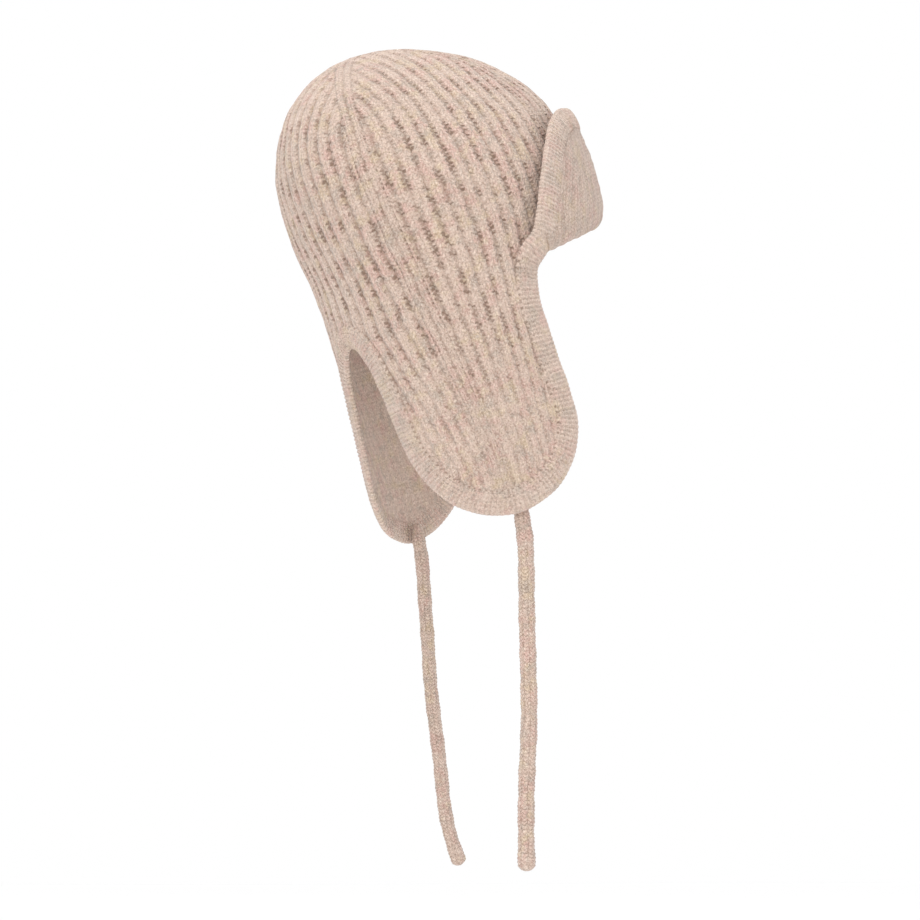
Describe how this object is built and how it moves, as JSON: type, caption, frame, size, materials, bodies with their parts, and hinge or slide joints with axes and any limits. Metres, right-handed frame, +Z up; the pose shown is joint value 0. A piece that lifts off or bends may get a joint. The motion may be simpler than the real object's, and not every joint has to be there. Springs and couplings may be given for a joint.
{
  "type": "knitted aviator hat",
  "caption": "Soft rib-knitted aviator hat with a turned-up front peak, two ear flaps, a knitted edge band and hanging tie cords.",
  "frame": {"origin": "inside top of the crown, where a head holds the hat up", "axes": "+Z up with the hat worn and its cords hanging plumb, front of the hat towards -Y, wearer's right towards -X"},
  "size_m": [0.187, 0.2184, 0.5306],
  "materials": {
    "rib_knit": "soft matte rib knit in beige melange yarn",
    "peak_knit": "soft matte knit, smoother side out",
    "band_knit": "soft matte fine knit",
    "cord_knit": "soft matte tubular knit"
  },
  "bodies": {
    "root": {"crown_shell": "rib_knit", "front_peak": "peak_knit", "edge_band": "band_knit", "right_tie_cord": "cord_knit", "left_tie_cord": "cord_knit"}
  },
  "joints": []
}
